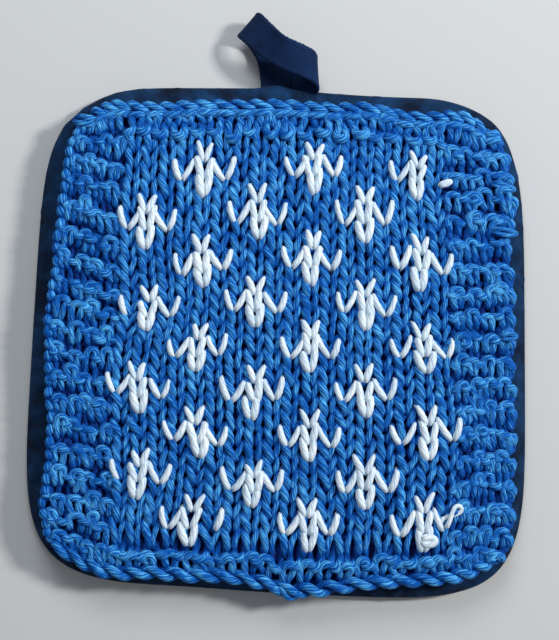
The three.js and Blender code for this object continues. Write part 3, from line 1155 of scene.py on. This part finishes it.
def pad_cover():
    """The pad's cover before it is filled: rings from the middle of the back to that of the top."""
    dense = np.linspace(0, 2 * np.pi, 6001)
    outline = oval_radius(dense, pad_half_width, pad_half_length, pad_squareness)
    path = np.stack([outline * np.cos(dense), outline * np.sin(dense)], axis=-1)
    travel = travel_along(path)
    rings = [(inset, count, "under") for inset, count in reversed(closing_rings)]
    rings += [(inset, cover_sides, "under") for inset in reversed(under_insets)]
    rings += [(inset, cover_sides, "top") for inset in [0, *top_insets]]
    rings += [(inset, count, "top") for inset, count in closing_rings]
    points, numbers = [], []
    for inset, count, half in rings:
        angles = np.interp(np.arange(count) / count * travel[-1], travel, dense)
        radius = oval_radius(angles, pad_half_width, pad_half_length, pad_squareness) - inset
        x, y = radius * np.cos(angles), radius * np.sin(angles)
        if half == "top":
            height = pad_top_height(x, y)
        else:
            height = seam_height * (1 - quarter_round(np.full(count, inset), underside_rounding))
        first = sum(len(ring) for ring in numbers)
        numbers.append(range(first, first + count))
        points.append(as_sewn(x, y + outline_push(x, y), height))
    faces = [tuple(reversed(numbers[0])), tuple(numbers[-1])]
    for lower, upper in zip(numbers, numbers[1:]):
        faces += faces_between(lower, upper)
    seam = np.array(numbers[len(closing_rings) + len(under_insets)])
    return mesh_piece("padded_body", np.concatenate(points), faces, navy_cotton), seam


def fill_pad(piece, seam):
    """Fills the cover by cloth simulation: pressure swells it between seam, table and knitted panel."""
    mesh = piece.data
    rest = read_points(mesh)
    start = rest.copy()
    start[:, :2] *= 1 - shrunk_before_filling / pad_half_width
    start[:, 2] = seam_height + (rest[:, 2] - seam_height) * (1 - shrunk_before_filling / seam_height / 2)
    write_points(mesh, start)
    held = piece.vertex_groups.new(name="seam")
    held.add(seam.tolist(), 1.0, "REPLACE")
    cloth = piece.modifiers.new("filling", "CLOTH")
    for setting, value in filling_cloth.items():
        setattr(cloth.settings, setting, value)
    cloth.settings.effector_weights.gravity = 0
    cloth.point_cache.frame_start, cloth.point_cache.frame_end = 1, filling_frames
    for frame_number in range(1, filling_frames + 1):
        bpy.context.scene.frame_set(frame_number)
    swollen = piece.evaluated_get(bpy.context.evaluated_depsgraph_get())
    filled = read_points(swollen.to_mesh())
    swollen.to_mesh_clear()
    piece.modifiers.clear()
    piece.vertex_groups.clear()
    bpy.context.scene.frame_set(1)
    moved = filled - start
    length = np.linalg.norm(moved, axis=1, keepdims=True)
    filled = start + moved * np.minimum(1, most_swelling / np.maximum(length, 1e-9))
    # The rim bulges out. The seam stays where it is sewn, drawn in a little by its stitches.
    filled[seam] = rest[seam]
    flat = rest[:, :2]
    distance = np.linalg.norm(flat, axis=1)
    inset = sewn_inset(rest)
    fullness = np.full(len(rest), rim_fullness) * (1 - smoothstep(inset, 1.5, 12))
    fullness[seam] -= seam_draws_in
    filled[:, :2] += flat / np.maximum(distance, 1e-6)[:, None] * fullness[:, None]
    top = np.arange(len(rest)) > seam[-1]
    # It lies flat on the table, under the panel.
    filled[:, 2] = np.maximum(filled[:, 2], 0.0)
    under_panel = top & (inset > panel_holds_from)
    filled[under_panel, 2] = np.minimum(filled[under_panel, 2], rest[under_panel, 2])
    write_points(mesh, filled)
    give_flat_uv(piece)
    smoother = piece.modifiers.new("smoother", "SUBSURF")
    smoother.levels = smoother.render_levels = 1
    return apply_modifiers(piece)


def pucker_rim(piece):
    """Pushes the upper cloth of the rim in and out along its normal, in the folds of its gathers."""
    points = read_points(piece.data)
    normals = np.zeros(len(points) * 3)
    piece.data.vertices.foreach_get("normal", normals)
    normals = normals.reshape(-1, 3)
    inset = sewn_inset(points) + rim_fullness
    fold = gathers(np.arctan2(points[:, 1], points[:, 0]), inset) * smoothstep(normals[:, 2], 0.0, 0.3)
    write_points(piece.data, points + normals * fold[:, None])
    return piece


pad = pucker_rim(fill_pad(*pad_cover()))


# --- The hanging loop ---

tape_thickness = 1.2
tape_half_width = 5.75
# The spacing of the stitches along the tape's edges.
tape_stitch = 1.7
tape_route = [
    # x, distance beyond the pad's back edge, z, the way the width points, width
    (-3.6, -1.5, 3.6, (1, -0.02, 0), 11),
    (-3.6, 3.5, 3.5, (1, 0.04, 0), 11.2),
    (-5.2, 13, 2.8, (0.97, 0.24, 0), 11.5),
    (-9, 20, 2.6, (0.8, 0.6, 0.04), 11.5),
    (-13, 23.4, 4.8, (0.68, 0.73, 0.1), 11.5),
    (-14.4, 24, 7, (0.65, 0.73, 0.2), 11.5),
    (-12.9, 22.2, 9.8, (0.62, 0.75, 0.25), 11.5),
    (-8.4, 17.2, 13.0, (0.5, 0.8, 0.32), 11.5),
    (-1.4, 11.9, 14.8, (0.1, 0.92, 0.38), 11.5),
    (6.4, 9.1, 13.2, (0, 0.95, 0.31), 11.5),
    (10.5, 7.4, 10.6, (-0.06, 0.98, 0.17), 12),
    (11.0, 5.6, 7.8, (-0.08, 0.98, 0.15), 12),
    (9.2, 4.9, 5.4, (0.15, 0.97, 0.1), 11.5),
    (5, 4.4, 3.9, (0.3, 0.95, 0), 12.5),
    (0.6, 3.6, 2.0, (0.3, 0.95, 0), 12.5),
]


def smooth_route(rows, count):
    """Points on a centripetal curve through rows, spaced evenly along it."""
    rows = np.asarray(rows, float)
    before = 2 * rows[0] - rows[1]
    after = 2 * rows[-1] - rows[-2]
    rows = np.concatenate([before[None], rows, after[None]])
    points = []
    for place in range(1, len(rows) - 2):
        a, b, c, d = rows[place - 1:place + 3]
        gaps = [np.linalg.norm(second[:3] - first[:3]) ** 0.5 for first, second in ((a, b), (b, c), (c, d))]
        t0, t1 = 0.0, gaps[0]
        t2 = t1 + gaps[1]
        t3 = t2 + gaps[2]
        for t in np.linspace(t1, t2, 24, endpoint=False):
            ab = a * (t1 - t) / (t1 - t0) + b * (t - t0) / (t1 - t0)
            bc = b * (t2 - t) / (t2 - t1) + c * (t - t1) / (t2 - t1)
            cd = c * (t3 - t) / (t3 - t2) + d * (t - t2) / (t3 - t2)
            abc = ab * (t2 - t) / (t2 - t0) + bc * (t - t0) / (t2 - t0)
            bcd = bc * (t3 - t) / (t3 - t1) + cd * (t - t1) / (t3 - t1)
            points.append(abc * (t2 - t) / (t2 - t1) + bcd * (t - t1) / (t2 - t1))
    points.append(rows[-2])
    points = np.array(points)
    travel = travel_along(points[:, :3])
    wanted = np.linspace(0, travel[-1], count)
    even = np.stack([np.interp(wanted, travel, column) for column in points.T], axis=-1)
    return even, travel[-1]


def tape_loop():
    """The band of the hanging loop, along its route, and its length."""
    rows = []
    for x, out, z, across, width in tape_route:
        half = np.array(across, float) * width / 2
        rows.append([x, pad_half_length + out, z, *half])
    steps = 250
    route, length = smooth_route(rows, steps)
    middle, half = route[:, :3], route[:, 3:]
    tangent = np.gradient(middle, axis=0)
    outward = np.cross(tangent, half)
    outward /= np.linalg.norm(outward, axis=1, keepdims=True)
    # Across the tape, from one edge to the other and back: soft pressed edges, and a slight hollow between.
    shares = np.linspace(-1, 1, 21)
    edge_round = np.sqrt(np.clip(1 - np.clip((np.abs(shares) - 0.9) / 0.1, 0, 1) ** 2, 0, 1))
    thick = tape_thickness / 2 * (0.78 + 0.22 * np.exp(-(((np.abs(shares) - 0.84) / 0.09) ** 2)))
    heights = thick * (0.25 + 0.75 * edge_round)
    section = [*zip(shares, heights), *zip(shares[::-1], -heights[::-1])]
    points = []
    # Thread wrapped round the edges scallops them, one small bump to a stitch.
    uneven = np.random.default_rng(5).normal(0, 0.01, steps)
    edge_reach = 1 + uneven + 0.028 * np.abs(np.cos(np.pi * np.linspace(0, length, steps) / tape_stitch))
    for step in range(steps):
        for share, height in section:
            reach = share * (edge_reach[step] if abs(share) > 0.85 else 1)
            points.append(middle[step] + half[step] * reach + outward[step] * height)
    around = len(section)
    faces = []
    for step in range(steps - 1):
        for place in range(around):
            a, b = step * around + place, step * around + (place + 1) % around
            faces.append((a, a + around, b + around, b))
    faces.append(tuple(range(around)))
    faces.append(tuple(reversed(range((steps - 1) * around, steps * around))))
    piece = mesh_piece("hanging_tape", np.array(points), faces, navy_tape)
    layer = piece.data.uv_layers.new(name="UVMap")
    for loop in piece.data.loops:
        step, place = divmod(loop.vertex_index, around)
        share = section[place][0]
        layer.data[loop.index].uv = (share * tape_half_width * mm, step / (steps - 1) * length * mm)
    return piece, length


tape, tape_length = tape_loop()


# --- Floor, light and camera ---


def plain_floor():
    reach = 3000
    corners = reach * np.array([(-1, -1, 0), (1, -1, 0), (1, 1, 0), (-1, 1, 0)], float)
    floor = mesh_piece("floor", corners, [(0, 1, 2, 3)], None)
    material = bpy.data.materials.new("pale_floor")
    material.use_nodes = True
    finish = material.node_tree.nodes["Principled BSDF"]
    finish.inputs["Base Color"].default_value = linear("#c6c9cb")
    finish.inputs["Roughness"].default_value = 0.9
    floor.data.materials.append(material)
    return floor


def area_light(name, azimuth, elevation, distance, size, power, colour):
    """A soft square lamp that looks at the middle of the pad. Azimuth 0 is on the right, 90 at the back."""
    lamp = bpy.data.lights.new(name, "AREA")
    lamp.size = size
    lamp.energy = power
    lamp.color = colour
    light = add_object(name, lamp)
    flat = math.cos(math.radians(elevation))
    direction = Vector((
        flat * math.cos(math.radians(azimuth)), flat * math.sin(math.radians(azimuth)),
        math.sin(math.radians(elevation)),
    ))
    light.location = direction * distance
    light.rotation_mode = "QUATERNION"
    light.rotation_quaternion = direction.to_track_quat("Z", "Y")
    return light


def soft_surroundings(strength):
    world = bpy.data.worlds.new("studio")
    world.use_nodes = True
    background = world.node_tree.nodes["Background"]
    background.inputs["Color"].default_value = (0.93, 0.96, 1.0, 1.0)
    background.inputs["Strength"].default_value = strength
    bpy.context.scene.world = world


def camera_above():
    """Looks down on the front, tilted a little towards the bottom edge and rolled a little."""
    distance, tilt, roll = 450 * mm, math.radians(4.6), math.radians(1.6)
    target = Vector((0, 6.6, 6.0)) * mm
    back = Vector((0, -math.sin(tilt), math.cos(tilt)))
    across = Vector((1, 0, 0))
    up = across.cross(-back)
    right = across * math.cos(roll) + up * math.sin(roll)
    top = up * math.cos(roll) - across * math.sin(roll)
    data = bpy.data.cameras.new("camera")
    data.sensor_fit = "HORIZONTAL"
    data.sensor_width = 36
    data.lens = 80.9
    data.clip_start, data.clip_end = 0.01, 20
    camera = add_object("camera", data)
    turn = Matrix((right, top, back)).transposed().to_4x4()
    camera.matrix_world = Matrix.Translation(target + back * distance) @ turn
    bpy.context.scene.camera = camera


floor = plain_floor()
area_light("key", 17, 38, 1.3, 0.18, 13.5, (1.0, 0.98, 0.95))
area_light("window", 95, 48, 0.7, 0.3, 2.2, (0.92, 0.96, 1.0))
soft_surroundings(0.25)
camera_above()
bpy.context.scene.view_settings.view_transform = "Standard"

# --- What each piece moves with, and the CAD parts that are hidden ---

for piece in [*blue_pieces, white_piece, panel, pad, tape]:
    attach(piece, "root")
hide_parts("knit_panel")
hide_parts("pad")
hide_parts("hanging_loop")
